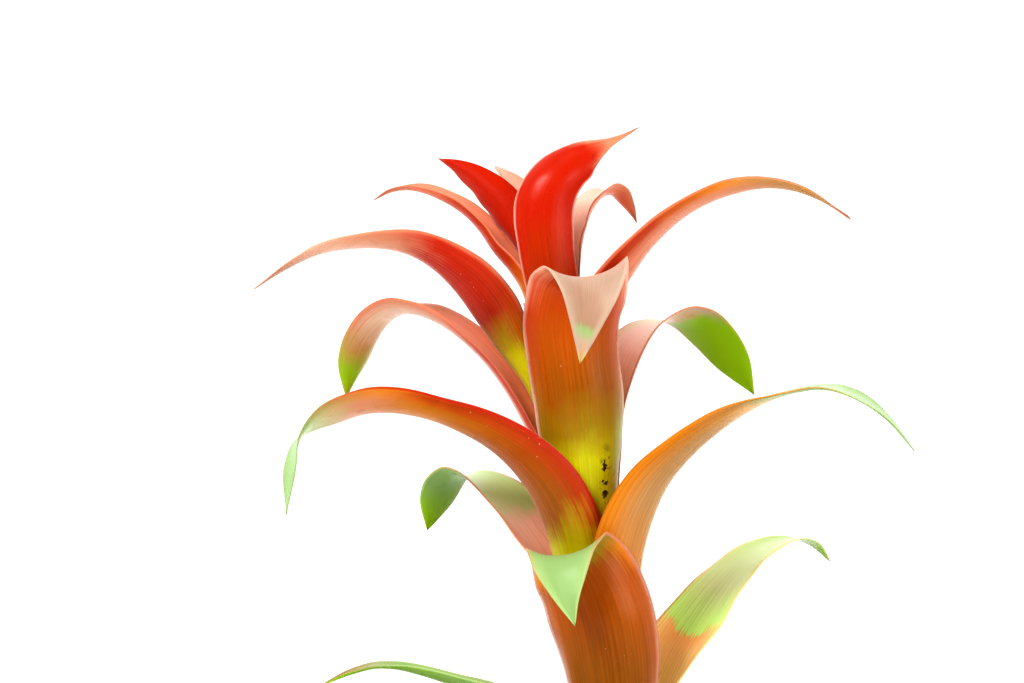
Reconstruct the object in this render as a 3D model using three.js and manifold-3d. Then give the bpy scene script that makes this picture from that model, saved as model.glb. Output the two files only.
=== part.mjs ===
// A potted bromeliad: a plain clay pot of potting mix, a rosette of green strap leaves,
// and a leaning flower spike clothed in red-orange bracts with green tips.
//
// Millimetres, +Z up. The origin is the centre of the pot's underside. The spike's open
// front bracts face -Y, and the spike leans towards -X.

import * as THREE from "three";
import { mergeVertices } from "three/addons/utils/BufferGeometryUtils.js";
import Module from "manifold-3d";

const manifold = await Module();
manifold.setup();

// ---------------------------------------------------------------- driving dimensions

const GAP = 0.4; // air left between two pieces that touch

const POT_HEIGHT = 118;
const POT_RIM_RADIUS = 66;
const POT_FOOT_RADIUS = 47;
const POT_WALL = 4.5;
const POT_FLOOR = 7;
const RIM_BAND_HEIGHT = 22; // the thicker collar round the top
const RIM_BAND_STEP = 3;
const DRAIN_RADIUS = 5.5;
const DRAIN_CIRCLE = 27; // the holes' distance from the middle of the floor
const DRAINS = 4;
const POT_SEGMENTS = 40;

const SOIL_TOP = 102; // at the wall; it is heaped a little towards the plant
const SOIL_HEAP = 4;
const SOIL_SEGMENTS = 32;

const STOCK_RADIUS = 13; // the short stock that the rosette's leaves grow from
const STOCK_FOOT = 90;
const STOCK_TOP = 168; // where it narrows into the flower stem
const STEM_RADIUS = 4.6;
const STEM_TOP = 500;
const STEM_SEGMENTS = 12;
const LEAN_SLOPE = 0.14; // sideways travel for each millimetre of height, once the bend is done
const LEAN_START = 240; // the stem is plumb up to here
const LEAN_BEND = 60; // height over which it bends to that slope

const BLADE_THICKNESS = 0.9;
const BRACT_FOOT = STEM_RADIUS + GAP + BLADE_THICKNESS / 2 + 0.4; // radius where a bract's foot hugs the stem
const LEAF_FOOT = STOCK_RADIUS + GAP + BLADE_THICKNESS / 2 + 1.1;
const BRACT_ACROSS = 6; // faces across a bract
const BRACT_ALONG = 13; // faces along a bract
const LEAF_ACROSS = 4;
const LEAF_ALONG = 10;

// ---------------------------------------------------------------- colours

const CLAY = { color: 0xb5623f, roughness: 0.85, metalness: 0 };
const SOIL = { color: 0x2f2018, roughness: 1, metalness: 0 };
const STEM_GREEN = { color: 0x9aa83a, roughness: 0.5, metalness: 0 };
const BRACT_RED = { color: 0xd84a12, roughness: 0.35, metalness: 0 };
const BRACT_GREEN = { color: 0x7ea64a, roughness: 0.4, metalness: 0 };
const LEAF_GREEN = { color: 0x3f7a33, roughness: 0.4, metalness: 0 };

// ---------------------------------------------------------------- helpers

const radians = THREE.MathUtils.degToRad;

// A smooth curve through [at, value] pairs, read as a function of at.
function through(keys) {
  const slope = (i) => {
    const [a, b] = [keys[Math.max(i - 1, 0)], keys[Math.min(i + 1, keys.length - 1)]];
    return (b[1] - a[1]) / (b[0] - a[0]);
  };
  return (at) => {
    const last = keys.length - 2;
    let i = 0;
    while (i < last && at > keys[i + 1][0]) i += 1;
    const [from, to] = [keys[i], keys[i + 1]];
    const span = to[0] - from[0];
    const t = THREE.MathUtils.clamp((at - from[0]) / span, 0, 1);
    const rise = to[1] - from[1];
    const pull = slope(i) * span - rise;
    const push = rise - slope(i + 1) * span;
    return from[1] + t * rise + t * (1 - t) * ((1 - t) * pull + t * push);
  };
}

// Merges corners that coincide and drops the faces that vanish, so that the mesh closes.
function welded(geometry) {
  geometry.deleteAttribute("normal");
  geometry.deleteAttribute("uv");
  const merged = mergeVertices(geometry, 1e-3);
  const corners = merged.index.array;
  const kept = [];
  for (let i = 0; i < corners.length; i += 3) {
    const [a, b, c] = corners.slice(i, i + 3);
    if (a !== b && b !== c && c !== a) kept.push(a, b, c);
  }
  merged.setIndex(kept);
  return merged;
}

// The same body with others cut out of it.
function withCuts(body, cutters) {
  const solid = ({ attributes, index }) => new manifold.Manifold(new manifold.Mesh({
    numProp: 3,
    vertProperties: attributes.position.array,
    triVerts: new Uint32Array(index.array),
  }));
  const cut = solid(body).subtract(manifold.Manifold.union(cutters.map(solid))).getMesh();
  const result = new THREE.BufferGeometry();
  result.setAttribute("position", new THREE.BufferAttribute(cut.vertProperties, 3));
  result.setIndex(new THREE.BufferAttribute(cut.triVerts, 1));
  return result;
}

// How far the stem's middle has leaned over at a height, and how steeply it leans there.
function leanAt(z) {
  const rise = Math.max(0, z - LEAN_START);
  const bent = Math.min(rise, LEAN_BEND);
  return -LEAN_SLOPE * ((bent * bent) / (2 * LEAN_BEND) + (rise - bent));
}

function tiltAt(z) {
  return -Math.atan(LEAN_SLOPE * THREE.MathUtils.clamp((z - LEAN_START) / LEAN_BEND, 0, 1));
}

// Shares along a curve that crowd together where it bends, so that a tight fold keeps its shape.
function stationsAlong(curve, count) {
  const fine = 200;
  const effort = [0];
  let before = curve.getTangentAt(0);
  for (let i = 1; i <= fine; i += 1) {
    const tangent = curve.getTangentAt(i / fine);
    effort.push(effort[i - 1] + 1 / fine + 0.45 * before.angleTo(tangent) / Math.PI);
    before = tangent;
  }
  const shares = [];
  let j = 0;
  for (let i = 0; i <= count; i += 1) {
    const wanted = (effort[fine] * i) / count;
    while (j < fine && effort[j + 1] < wanted) j += 1;
    const step = effort[Math.min(j + 1, fine)] - effort[j] || 1;
    shares.push(i === count ? 1 : (j + (wanted - effort[j]) / step) / fine);
  }
  return shares;
}

// ---------------------------------------------------------------- a blade

// Width shares along a blade, from its foot to its point.
const TAPERED = [[0, 0.5], [0.14, 0.8], [0.3, 1], [0.45, 0.86], [0.6, 0.66], [0.75, 0.5], [0.88, 0.32], [0.95, 0.16], [1, 0]];
const SLIM_FOOT = [[0, 0.45], [0.15, 0.55], [0.3, 0.66], [0.42, 0.82], [0.54, 0.88], [0.75, 0.62], [0.88, 0.38], [0.95, 0.18], [1, 0]];
const SLIM_STALK = [[0, 0.5], [0.3, 0.5], [0.6, 0.75], [0.75, 1], [0.88, 0.65], [1, 0]];
const FOLDED = [[0, 0.38], [0.15, 0.6], [0.35, 0.94], [0.55, 1], [0.66, 0.93], [0.74, 0.7], [0.82, 0.46], [0.92, 0.2], [1, 0]];
const BROAD_FOLD = [[0, 0.38], [0.15, 0.6], [0.35, 0.92], [0.55, 0.96], [0.66, 1.04], [0.74, 0.84], [0.82, 0.52], [0.92, 0.22], [1, 0]];
const BROAD_END = [[0, 0.45], [0.15, 0.55], [0.3, 0.66], [0.5, 0.88], [0.7, 0.98], [0.85, 0.8], [0.94, 0.46], [1, 0]];
const SPOON = [[0, 0.5], [0.2, 0.62], [0.4, 0.68], [0.55, 0.74], [0.66, 0.84], [0.73, 0.78], [0.79, 0.6], [0.85, 0.3], [0.9, 0.13], [1, 0]];
const BROAD_BASE = [[0, 0.45], [0.15, 0.55], [0.3, 0.69], [0.42, 0.96], [0.54, 0.96], [0.75, 0.62], [0.88, 0.38], [0.95, 0.18], [1, 0]];
const STRAP = [[0, 1], [0.15, 0.95], [0.35, 0.88], [0.6, 1], [0.8, 0.8], [0.92, 0.42], [0.98, 0.15], [1, 0]];

// A leaf or bract, as a thin closed solid. It starts as a flat box, one face thick, and each
// corner moves to its place: along the path, across the blade's arc, and to one side of it.
//   path     points [out, up, side] from the stem's middle at the node, in the blade's own plane
//   width    the blade's full width, measured along its arc where it is widest
//   hug      share of the length along which the blade is wrapped round the stem
//   cup      half-angle of the gutter that the free blade forms, in degrees, along its length
//   roll     turn of the blade about its own length, in degrees, along its length
function bladeGeometry({ path, width, outline, hug = 0.25, cup = [[0, 55], [1, 35]], roll = [[0, 0], [1, 0]] }, across, along) {
  const curve = new THREE.CatmullRomCurve3(path.map(([out, up, side = 0]) => new THREE.Vector3(out, side, up)));
  const shareOf = stationsAlong(curve, along);
  const widthAt = through(outline);
  const cupAt = through(cup);
  const rollAt = through(roll);
  const sideways = new THREE.Vector3(0, 1, 0);
  const upwards = new THREE.Vector3(0, 0, 1);

  const rings = shareOf.map((share) => {
    const opened = THREE.MathUtils.smoothstep(share, hug * 0.7, hug * 1.3);
    const middle = curve.getPointAt(share);
    const ahead = curve.getTangentAt(share).lerp(upwards, 1 - opened).normalize();
    const flatInner = new THREE.Vector3().crossVectors(ahead, sideways).normalize();
    const flatSide = new THREE.Vector3().crossVectors(flatInner, ahead);
    const turn = radians(rollAt(share));
    const inner = flatInner.clone().multiplyScalar(Math.cos(turn)).addScaledVector(flatSide, Math.sin(turn));
    const side = flatSide.clone().multiplyScalar(Math.cos(turn)).addScaledVector(flatInner, -Math.sin(turn));
    const halfWidth = Math.max(0, (width / 2) * widthAt(share));
    const wrapped = Math.min(halfWidth / middle.x, Math.PI * 0.8);
    const free = radians(cupAt(share));
    const halfAngle = Math.max(0.02, THREE.MathUtils.lerp(wrapped, free, opened));
    const thickness = share === 1 ? 0 : BLADE_THICKNESS;
    return { middle, inner, side, halfWidth, halfAngle, thickness };
  });

  const box = new THREE.BoxGeometry(2, 1, 1, across, 1, along);
  const corner = box.attributes.position;
  for (let i = 0; i < corner.count; i += 1) {
    const ring = rings[Math.round((corner.getZ(i) + 0.5) * along)];
    const angle = corner.getX(i) * ring.halfAngle;
    const radius = ring.halfWidth / ring.halfAngle;
    const height = corner.getY(i) * ring.thickness;
    const place = ring.middle.clone()
      .addScaledVector(ring.side, Math.sin(angle) * (radius - height))
      .addScaledVector(ring.inner, radius - Math.cos(angle) * (radius - height));
    corner.setXYZ(i, place.x, place.y, place.z);
  }
  return welded(box);
}

// A blade in its place on the stem. azimuth 0 points to +X, and 270 to the front.
function blade(name, finish, node, azimuth, shape, across, along) {
  const mesh = named(name, finish, bladeGeometry(shape, across, along));
  mesh.position.set(leanAt(node), 0, node);
  mesh.rotation.set(0, tiltAt(node), radians(azimuth), "YZX");
  return mesh;
}

// ---------------------------------------------------------------- the spike's bracts

// From the lowest up. Each grows from its node's height on the stem, towards its azimuth.
const BRACTS = [
  { name: "bract_low_front", finish: BRACT_GREEN, node: 282, azimuth: 240, width: 26, cup: [[0, 60], [1, 30]],
    path: [[0, 0], [4, 12], [10, 28], [20, 40], [32, 46], [44, 44], [52, 36]] },
  { name: "bract_low_left", finish: BRACT_GREEN, node: 292, azimuth: 184, width: 24, hug: 0.1, cup: [[0, 90], [1, 35]],
    path: [[0, 0], [4, 12], [12, 30], [28, 48], [50, 60], [75, 69], [95, 66]] },
  { name: "bract_front_low", finish: BRACT_RED, node: 304, azimuth: 262, width: 47, outline: FOLDED, hug: 0.6,
    cup: [[0, 90], [0.6, 70], [0.8, 30], [1, 25]],
    path: [[0, 0], [5, 18, 1], [10, 41, 1], [14, 62, 1], [15, 78, -2], [18, 88, -6], [24, 89, -7], [29, 82, -7], [33, 66, -5]] },
  { name: "bract_right_low", finish: BRACT_RED, node: 314, azimuth: 45, width: 29, hug: 0.1,
    cup: [[0, 90], [0.3, 50], [0.5, 25], [1, 20]], roll: [[0, 0], [0.4, -15], [0.8, -10], [1, 0]],
    path: [[0, 0], [4, 11], [19, 25], [29, 35], [38, 42], [58, 56], [73, 63], [90, 67], [108, 65], [120, 56]] },
  { name: "bract_back_low", finish: BRACT_RED, node: 320, azimuth: 60, width: 24, outline: BROAD_END, hug: 0.1,
    cup: [[0, 90], [0.4, 55], [0.6, 35], [1, 25]],
    path: [[0, 0], [5, 20], [10, 44, 2], [19, 64, 8], [33, 78, 20], [48, 84, 36], [61, 76, 51], [68, 54, 60]] },
  { name: "bract_left_back_low", finish: BRACT_RED, node: 326, azimuth: 145, width: 26, outline: BROAD_END, hug: 0.1,
    cup: [[0, 90], [0.4, 50], [0.6, 25], [1, 25]], roll: [[0, 0], [0.5, 15], [0.7, 0], [1, -30]],
    path: [[0, 0], [5, 20], [9, 44], [13, 64], [23, 81], [37, 94], [47, 97], [56, 91], [65, 79]] },
  { name: "bract_right_mid", finish: BRACT_RED, node: 336, azimuth: 338, width: 42, hug: 0.1,
    cup: [[0, 85], [0.3, 85], [0.45, 65], [0.6, 38], [0.75, 14], [1, 15]],
    path: [[0, 0], [5, 22], [10, 49], [22, 73], [35, 85], [62, 99], [88, 101], [104, 91], [114, 77]] },
  { name: "bract_left_mid", finish: BRACT_RED, node: 348, azimuth: 205, width: 44, hug: 0.1,
    cup: [[0, 105], [0.25, 100], [0.45, 70], [0.65, 48], [0.8, 18], [1, 15]],
    roll: [[0, 0], [0.6, 0], [0.8, -30], [0.92, 0], [1, 0]],
    path: [[0, 0], [5, 22], [9, 46], [13, 64], [25, 82], [53, 100], [80, 104], [97, 98], [106, 73]] },
  { name: "bract_back_mid", finish: BRACT_RED, node: 362, azimuth: 74, width: 25, outline: BROAD_END, hug: 0.1,
    cup: [[0, 90], [0.4, 55], [0.6, 35], [1, 25]],
    path: [[0, 0], [5, 20], [10, 42, 1], [18, 60, 5], [32, 74, 12], [50, 80, 20], [67, 73, 27], [78, 52, 31]] },
  { name: "bract_right_back_mid", finish: BRACT_RED, node: 376, azimuth: 42, width: 22, outline: BROAD_END, hug: 0.1,
    cup: [[0, 90], [0.3, 50], [0.5, 25], [1, 20]], roll: [[0, 0], [0.4, -15], [0.6, 0], [1, 30]],
    path: [[0, 0], [4, 20], [8, 43], [12, 65], [24, 83], [39, 91], [55, 91], [69, 81], [85, 60]] },
  { name: "bract_front_mid", finish: BRACT_RED, node: 388, azimuth: 278, width: 42, outline: BROAD_FOLD, hug: 0.6,
    cup: [[0, 90], [0.6, 70], [0.8, 35], [1, 25]],
    path: [[0, 0], [4, 16], [8, 36], [11, 52, 1], [12, 66, 1], [13, 83, 2], [16, 94, 6], [22, 98, 7], [26, 93, 6], [28, 69, -1]] },
  { name: "bract_left_back_mid", finish: BRACT_RED, node: 396, azimuth: 162, width: 26, outline: BROAD_END, hug: 0.1,
    cup: [[0, 90], [0.5, 50], [1, 30]], roll: [[0, 0], [0.6, 0], [1, -35]],
    path: [[0, 0], [4, 18], [13, 44], [21, 62], [38, 81], [54, 87], [67, 79], [78, 60]] },
  { name: "bract_back_high", finish: BRACT_RED, node: 404, azimuth: 70, width: 22, outline: SLIM_FOOT, hug: 0.1,
    cup: [[0, 90], [0.4, 60], [0.6, 45], [1, 30]],
    path: [[0, 0], [4, 20], [9, 40, 2], [17, 58, 7], [29, 70, 14], [45, 75, 24], [60, 68, 32], [69, 50, 37]] },
  { name: "bract_left_high", finish: BRACT_RED, node: 412, azimuth: 185, width: 39, outline: BROAD_BASE, hug: 0.1,
    cup: [[0, 100], [0.35, 100], [0.5, 70], [0.7, 50], [1, 30]], roll: [[0, 0], [0.2, 0], [0.4, -15], [0.6, -8], [0.75, 0], [1, 0]],
    path: [[0, 0], [4, 18], [9, 38], [19, 57], [28, 75], [40, 88], [53, 94], [75, 95], [99, 86]] },
  { name: "bract_right_high", finish: BRACT_RED, node: 424, azimuth: 352, width: 37, hug: 0.1,
    cup: [[0, 95], [0.35, 80], [0.5, 60], [0.75, 55], [1, 30]],
    path: [[0, 0], [4, 18], [9, 42], [17, 56], [34, 73], [53, 82], [74, 84], [88, 78], [99, 69]] },
  { name: "bract_top_front", finish: BRACT_RED, node: 434, azimuth: 272, width: 30, outline: SPOON, hug: 0.75,
    cup: [[0, 90], [1, 40]],
    path: [[0, 0], [2, 14], [5, 30], [7, 55, -2], [8, 77, -1], [8, 86, 3], [6, 92, 10], [5, 96, 21], [3, 101, 36]] },
  { name: "bract_top_back", finish: BRACT_RED, node: 440, azimuth: 60, width: 15, outline: SLIM_FOOT, hug: 0.1,
    cup: [[0, 90], [0.4, 65], [0.6, 50], [1, 35]],
    path: [[0, 0], [4, 20], [8, 38, 2], [14, 54, 7], [23, 64, 15], [34, 67, 26], [45, 60, 37]] },
  { name: "bract_left_back_high", finish: BRACT_RED, node: 444, azimuth: 160, width: 26, hug: 0.1,
    cup: [[0, 85], [0.4, 75], [0.6, 60], [1, 35]],
    path: [[0, 0], [3, 20], [7, 42], [14, 54], [22, 68], [36, 79], [47, 82], [58, 80]] },
  { name: "bract_top_right_back", finish: BRACT_RED, node: 454, azimuth: 40, width: 15, outline: SLIM_STALK, hug: 0.1,
    cup: [[0, 80], [1, 40]],
    path: [[0, 0], [2, 18], [5, 36], [10, 50], [17, 58], [27, 60], [36, 49]] },
  { name: "bract_top_left", finish: BRACT_RED, node: 464, azimuth: 184, width: 24, outline: SLIM_FOOT, hug: 0.1,
    cup: [[0, 100], [0.35, 80], [0.6, 45], [1, 35]], roll: [[0, 0], [0.35, 0], [0.6, -45], [1, -45]],
    path: [[0, 0], [3, 20], [6, 38], [11, 52], [19, 62], [29, 70]] },
  { name: "bract_bud", finish: BRACT_RED, node: 482, azimuth: 120, width: 11, outline: SLIM_STALK, hug: 0.3,
    cup: [[0, 90], [1, 60]],
    path: [[-1, 0], [-1, 16, 1], [2, 33, 4], [8, 47, 10]] },
];

// Upright green bracts that clothe the bare stem between the rosette and the spike.
const SCAPE_BRACTS = 3;
const SCAPE_FIRST = 186;
const SCAPE_STEP = 26;
const SCAPE_SHAPE = { width: 24, outline: TAPERED, hug: 0.4, cup: [[0, 90], [0.6, 50], [1, 30]],
  path: [[0, 0], [4, 18], [7, 40], [12, 60], [20, 78], [31, 92]] };

// ---------------------------------------------------------------- the rosette's leaves

// The outermost leaf and the innermost; the others lie in order between these two curves.
const LEAVES = 17;
const LEAF_FIRST_NODE = 110;
const LEAF_NODE_STEP = 3.2;
const LEAF_TURN = 137.5; // degrees from one leaf to the next
const LEAF_WIDTH = 34;
const OUTER_LEAF = [[0, 0], [10, 18], [32, 42], [78, 76], [140, 94], [196, 80], [232, 46]];
const INNER_LEAF = [[0, 0], [7, 24], [18, 62], [42, 104], [80, 136], [122, 144], [158, 122]];

// ---------------------------------------------------------------- the whole plant

// A body turned about the vertical from [radius, height] points, which run from axis to axis.
function turned(profile, segments) {
  const points = profile.map(([radius, height]) => new THREE.Vector2(radius, height));
  return welded(new THREE.LatheGeometry(points, segments).rotateX(Math.PI / 2));
}

function named(name, finish, geometry) {
  const mesh = new THREE.Mesh(geometry, new THREE.MeshStandardMaterial(finish));
  mesh.name = name;
  return mesh;
}

function potRadiusAt(height) {
  return THREE.MathUtils.lerp(POT_FOOT_RADIUS, POT_RIM_RADIUS - RIM_BAND_STEP, height / POT_HEIGHT);
}

// The stock and the flower stem are one grown piece: a tapering rod that follows the lean.
function stemMesh() {
  const radiusAt = through([[STOCK_FOOT, STOCK_RADIUS * 0.9], [STOCK_FOOT + 16, STOCK_RADIUS],
    [STOCK_TOP, STOCK_RADIUS], [STOCK_TOP + 14, STEM_RADIUS + 1], [STOCK_TOP + 22, STEM_RADIUS], [STEM_TOP - 40, STEM_RADIUS], [STEM_TOP, 2]]);
  const heights = [STOCK_FOOT + GAP, 106, 130, 150, STOCK_TOP, 175, 182, 190, 215, 240, 260, 280, 300, 360, 420, STEM_TOP - 40, STEM_TOP - 15, STEM_TOP];
  const rod = new THREE.CylinderGeometry(1, 1, 1, STEM_SEGMENTS, heights.length - 1).rotateX(Math.PI / 2);
  const corner = rod.attributes.position;
  for (let i = 0; i < corner.count; i += 1) {
    const z = heights[Math.round((corner.getZ(i) + 0.5) * (heights.length - 1))];
    const radius = radiusAt(z);
    corner.setXYZ(i, leanAt(z) + corner.getX(i) * radius, corner.getY(i) * radius, z);
  }
  return named("stem", STEM_GREEN, welded(rod));
}

const plant = new THREE.Group();

const bandFoot = POT_HEIGHT - RIM_BAND_HEIGHT;
const potBody = turned([
  [0, 0],
  [POT_FOOT_RADIUS - 1.5, 0],
  [POT_FOOT_RADIUS, 1.5],
  [potRadiusAt(bandFoot), bandFoot],
  [POT_RIM_RADIUS - 1, bandFoot + 1.5],
  [POT_RIM_RADIUS, POT_HEIGHT - 2],
  [POT_RIM_RADIUS - 1.5, POT_HEIGHT],
  [potRadiusAt(POT_HEIGHT) - POT_WALL + 1.5, POT_HEIGHT],
  [potRadiusAt(POT_HEIGHT) - POT_WALL, POT_HEIGHT - 2],
  [potRadiusAt(POT_FLOOR) - POT_WALL, POT_FLOOR],
  [0, POT_FLOOR],
], POT_SEGMENTS);
const drains = Array.from({ length: DRAINS }, (_, i) => {
  const turn = ((i + 0.5) / DRAINS) * 2 * Math.PI;
  const drain = new THREE.CylinderGeometry(DRAIN_RADIUS, DRAIN_RADIUS, POT_FLOOR * 3, 12).rotateX(Math.PI / 2);
  return welded(drain.translate(DRAIN_CIRCLE * Math.cos(turn), DRAIN_CIRCLE * Math.sin(turn), 0));
});
plant.add(named("pot", CLAY, withCuts(potBody, drains)));

plant.add(named("soil", SOIL, turned([
  [0, POT_FLOOR + GAP],
  [potRadiusAt(POT_FLOOR + GAP) - POT_WALL - GAP, POT_FLOOR + GAP],
  [potRadiusAt(SOIL_TOP) - POT_WALL - GAP, SOIL_TOP],
  [STOCK_RADIUS + 14, SOIL_TOP + SOIL_HEAP],
  [STOCK_RADIUS + GAP, SOIL_TOP + SOIL_HEAP],
  [STOCK_RADIUS + GAP, STOCK_FOOT],
  [0, STOCK_FOOT],
], SOIL_SEGMENTS)));

plant.add(stemMesh());

for (let i = 0; i < LEAVES; i += 1) {
  const inward = i / (LEAVES - 1);
  const path = OUTER_LEAF.map(([out, up], k) => [
    THREE.MathUtils.lerp(out, INNER_LEAF[k][0], inward) + LEAF_FOOT,
    THREE.MathUtils.lerp(up, INNER_LEAF[k][1], inward),
  ]);
  const shape = { path, outline: STRAP, width: LEAF_WIDTH, hug: 0.12, cup: [[0, 60], [0.3, 40], [1, 22]] };
  const node = LEAF_FIRST_NODE + i * LEAF_NODE_STEP;
  const name = `leaf_${String(i + 1).padStart(2, "0")}`;
  plant.add(blade(name, LEAF_GREEN, node, (i * LEAF_TURN) % 360, shape, LEAF_ACROSS, LEAF_ALONG));
}

const fromFoot = (path) => path.map(([out, up, side]) => [out + BRACT_FOOT, up, side]);
for (let i = 0; i < SCAPE_BRACTS; i += 1) {
  const shape = { ...SCAPE_SHAPE, path: fromFoot(SCAPE_SHAPE.path) };
  const node = SCAPE_FIRST + i * SCAPE_STEP;
  plant.add(blade(`scape_bract_${i + 1}`, BRACT_GREEN, node, (70 + i * LEAF_TURN) % 360, shape, LEAF_ACROSS, LEAF_ALONG));
}
for (const { name, finish, node, azimuth, path, ...shape } of BRACTS) {
  plant.add(blade(name, finish, node, azimuth, { outline: TAPERED, ...shape, path: fromFoot(path) }, BRACT_ACROSS, BRACT_ALONG));
}

export default plant;
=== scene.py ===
# %% [markdown]
# # A potted bromeliad
#
# This plant is a stack of simple things: a clay pot, a disc of potting mix, one stem, and
# many blades. A rosette leaf and a red bract are the same kind of form, a long gutter that
# hugs the stem at its foot, arches out and ends in a point. So most of this lesson is about
# making one good blade and dressing it in many ways.
#
# The imported model gives every piece its place. It is loaded first.

import math
import random

import bmesh
import bpy
import numpy as np
from mathutils import Matrix, Vector, noise


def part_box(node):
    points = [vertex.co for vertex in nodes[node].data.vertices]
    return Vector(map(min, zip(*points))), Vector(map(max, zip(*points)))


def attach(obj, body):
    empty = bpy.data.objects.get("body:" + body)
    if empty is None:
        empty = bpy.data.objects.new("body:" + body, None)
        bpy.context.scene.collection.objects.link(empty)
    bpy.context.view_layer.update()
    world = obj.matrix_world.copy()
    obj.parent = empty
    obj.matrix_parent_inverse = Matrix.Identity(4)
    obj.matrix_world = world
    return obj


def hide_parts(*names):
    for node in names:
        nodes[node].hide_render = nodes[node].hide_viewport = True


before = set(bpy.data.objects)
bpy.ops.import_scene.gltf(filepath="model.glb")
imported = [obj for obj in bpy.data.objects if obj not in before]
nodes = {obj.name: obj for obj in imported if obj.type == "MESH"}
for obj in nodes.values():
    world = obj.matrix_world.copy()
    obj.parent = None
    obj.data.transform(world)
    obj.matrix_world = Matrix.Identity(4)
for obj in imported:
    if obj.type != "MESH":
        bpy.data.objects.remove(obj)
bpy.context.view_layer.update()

# %% [markdown]
# ## Camera
#
# The plant is looked at level, from its front, with a long lens, so that near and far bracts
# keep almost the same scale. The view takes in the flower spike only.

# %% Camera
camera_data = bpy.data.cameras.new("camera")
camera_data.lens = 120.5
camera_data.sensor_width = 36
camera_data.clip_end = 20
camera = bpy.data.objects.new("camera", camera_data)
camera.location = (-0.0455, -1.2, 0.4645)
camera.rotation_euler = (math.radians(90), 0, 0)
bpy.context.scene.collection.objects.link(camera)
bpy.context.scene.camera = camera
print("camera at", tuple(camera.location))

# %% [markdown]
# ## Studio
#
# Glossy leaves show their surroundings, so the light matters as much as the paint. The room
# is white, brightest behind the plant and dimmer in front of it. Waxy margins that turn away
# then catch the bright wall as a pale rim, while the faces towards the viewer stay deep in
# colour. A large soft lamp above and to the left shapes them, with a weaker one on the right.
# The floor is a pale disc that throws light back up into the bracts.

# %% Studio
def shown(mesh, name):
    """A finished bmesh as an object of that name, standing in the scene."""
    data = bpy.data.meshes.new(name)
    mesh.to_mesh(data)
    mesh.free()
    piece = bpy.data.objects.new(name, data)
    bpy.context.scene.collection.objects.link(piece)
    return piece


def make_lamp(name, place, aim, size, power):
    lamp_data = bpy.data.lights.new(name, "AREA")
    lamp_data.shape = "DISK"
    lamp_data.size = size
    lamp_data.energy = power
    lamp = bpy.data.objects.new(name, lamp_data)
    lamp.location = place
    lamp.rotation_euler = (Vector(aim) - Vector(place)).to_track_quat("-Z", "Y").to_euler()
    bpy.context.scene.collection.objects.link(lamp)


spike_heart = (-0.02, 0, 0.44)
make_lamp("key", (-0.8, -1.2, 1.4), spike_heart, 0.7, 21)
make_lamp("fill", (1.2, -0.9, 0.7), spike_heart, 0.9, 8)

world = bpy.data.worlds.new("white room")
world.use_nodes = True
room = world.node_tree
shell = room.nodes["Background"]
shell.inputs["Color"].default_value = (1, 1, 1, 1)
where = room.nodes.new("ShaderNodeTexCoord")
parts = room.nodes.new("ShaderNodeSeparateXYZ")
fade = room.nodes.new("ShaderNodeMapRange")
fade.interpolation_type = "SMOOTHSTEP"
for name, value in {"From Min": -0.5, "From Max": 0.8, "To Min": 0.22, "To Max": 1.5}.items():
    fade.inputs[name].default_value = value
seen = room.nodes.new("ShaderNodeLightPath")
choice = room.nodes.new("ShaderNodeMix")
choice.inputs[3].default_value = 1.0
room.links.new(where.outputs["Generated"], parts.inputs[0])
room.links.new(parts.outputs["Y"], fade.inputs["Value"])
room.links.new(seen.outputs["Is Camera Ray"], choice.inputs[0])
room.links.new(fade.outputs[0], choice.inputs[2])
room.links.new(choice.outputs[0], shell.inputs["Strength"])
bpy.context.scene.world = world
bpy.context.scene.view_settings.view_transform = "Standard"
bpy.context.scene.view_settings.look = "High Contrast"

floor_mesh = bmesh.new()
bmesh.ops.create_circle(floor_mesh, cap_ends=True, segments=96, radius=1.6)
floor = shown(floor_mesh, "floor")
print("studio ready")

# %% [markdown]
# ## Small tools for materials
#
# Every finish here is made of shader nodes. These helpers add a node and set its inputs in
# one line, so that a material reads as a list of steps.

# %% Helpers for materials
def paint(red, green, blue):
    """A colour given as 0 to 255 on a screen, as the shader wants it."""
    values = [value / 255 for value in (red, green, blue)]
    return tuple(v / 12.92 if v < 0.04 else ((v + 0.055) / 1.055) ** 2.4 for v in values) + (1.0,)


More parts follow.
